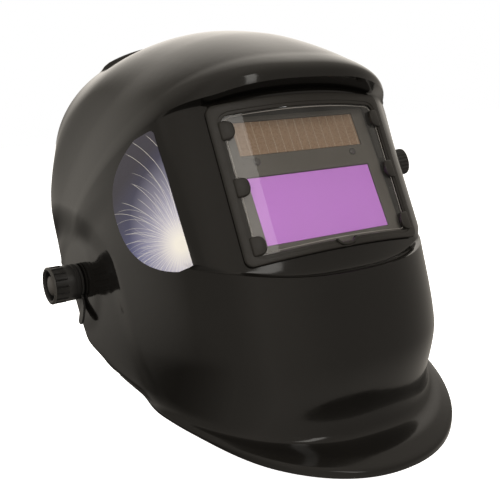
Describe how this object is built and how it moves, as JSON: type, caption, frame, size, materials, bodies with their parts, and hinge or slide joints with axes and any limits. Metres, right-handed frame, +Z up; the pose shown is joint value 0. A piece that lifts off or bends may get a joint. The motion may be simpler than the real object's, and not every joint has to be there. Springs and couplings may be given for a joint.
{
  "type": "welding helmet",
  "caption": "Black auto-darkening welding helmet: flip-up glossy shell with a visor over the filter window, on an adjustable headband with a ratchet and a crown strap.",
  "frame": {"origin": "on the table under the middle of the helmet as it stands on its chin lip and nape plate", "axes": "+Z up, the filter window faces -Y, the wearer's left is +X"},
  "size_m": [0.254, 0.2998, 0.2597],
  "materials": {
    "shell_gloss": "high gloss black",
    "frame_plastic": "satin black",
    "clear_polycarbonate": "clear, glossy",
    "cartridge_plastic": "satin dark grey",
    "filter_violet": "mirror-coated violet filter glass",
    "solar_cells": "brown cells with thin pale bus lines",
    "sensor_dark": "gloss black",
    "circuit_board": "green lacquer",
    "steel": "plain nickel-plated",
    "inner_plastic": "fine grained black",
    "knob_plastic": "satin black",
    "cap_grey": "satin grey",
    "washer_fibre": "vulcanised fibre",
    "lead_rubber": "matt black sleeve",
    "label_print": "printed film with a clear gloss layer",
    "band_nylon": "satin black",
    "sweatband_foam": "knitted cover over foam"
  },
  "bodies": {
    "headgear": {"front_band": "band_nylon", "sweatband": "sweatband_foam", "rear_band_left": "band_nylon", "rear_band_right": "band_nylon", "side_arm_left": "band_nylon", "side_arm_right": "band_nylon", "crown_strap_left": "band_nylon", "crown_strap_right": "band_nylon", "crown_pin": "band_nylon", "nape_plate": "band_nylon", "nape_pad": "sweatband_foam", "ratchet_cover": "band_nylon", "pivot_bolt_left": "knob_plastic", "pivot_bolt_right": "knob_plastic", "friction_washer_left": "washer_fibre", "friction_washer_right": "washer_fibre"},
    "shell": {"shell": "shell_gloss", "label_right": "label_print", "lens_frame": "frame_plastic", "cover_lens": "clear_polycarbonate", "cartridge_front": "cartridge_plastic", "cartridge_back": "cartridge_plastic", "filter_glass": "filter_violet", "solar_panel": "solar_cells", "arc_sensor_left": "sensor_dark", "arc_sensor_right": "sensor_dark", "circuit_board": "circuit_board", "battery_cell_left": "steel", "battery_cell_right": "steel", "inner_cover_lens": "clear_polycarbonate", "cartridge_holder": "inner_plastic", "retaining_frame": "inner_plastic", "retaining_clip_left": "steel", "retaining_clip_right": "steel", "shade_potentiometer": "steel", "shade_nut": "steel", "shade_lead": "lead_rubber", "pivot_spacer_left": "knob_plastic"},
    "tension_left": {"tension_knob_left": "knob_plastic", "knob_cap_left": "cap_grey"},
    "tension_right": {"tension_knob_right": "knob_plastic", "knob_cap_right": "cap_grey"},
    "tilt_lever": {"tilt_lever": "knob_plastic"},
    "shade_knob": {"shade_knob": "knob_plastic"},
    "sensitivity_dial": {"sensitivity_dial": "knob_plastic"},
    "delay_dial": {"delay_dial": "knob_plastic"},
    "ratchet": {"ratchet_knob": "knob_plastic", "ratchet_pinion": "knob_plastic"}
  },
  "joints": [
    {"name": "shell_flip", "type": "hinge", "parent": "headgear", "child": "shell", "pos_m": [0, 0.05921, 0.09721], "axis": [-1, 0, 0], "range_deg": [0, 75]},
    {"name": "tension_turn_left", "type": "hinge", "parent": "headgear", "child": "tension_left", "pos_m": [0, 0.05921, 0.09721], "axis": [1, 0, 0], "continuous": true},
    {"name": "tension_turn_right", "type": "hinge", "parent": "headgear", "child": "tension_right", "pos_m": [0, 0.05921, 0.09721], "axis": [-1, 0, 0], "continuous": true},
    {"name": "tilt_lever_turn", "type": "hinge", "parent": "shell", "child": "tilt_lever", "pos_m": [0, 0.05921, 0.09721], "axis": [-1, 0, 0], "range_deg": [-25, 25]},
    {"name": "shade_turn", "type": "hinge", "parent": "shell", "child": "shade_knob", "pos_m": [0.09715, -0.03253, 0.15906], "axis": [0.9205, -0.3567, 0.1596], "range_deg": [-135, 135]},
    {"name": "sensitivity_turn", "type": "hinge", "parent": "shell", "child": "sensitivity_dial", "pos_m": [0.025, -0.05474, 0.18215], "axis": [0, 0.9128, -0.4083], "range_deg": [-135, 135]},
    {"name": "delay_turn", "type": "hinge", "parent": "shell", "child": "delay_dial", "pos_m": [-0.025, -0.05474, 0.18215], "axis": [0, 0.9128, -0.4083], "range_deg": [-135, 135]},
    {"name": "ratchet_turn", "type": "hinge", "parent": "headgear", "child": "ratchet", "pos_m": [0, 0.12798, 0.02318], "axis": [0, 0.9128, -0.4083], "continuous": true}
  ]
}
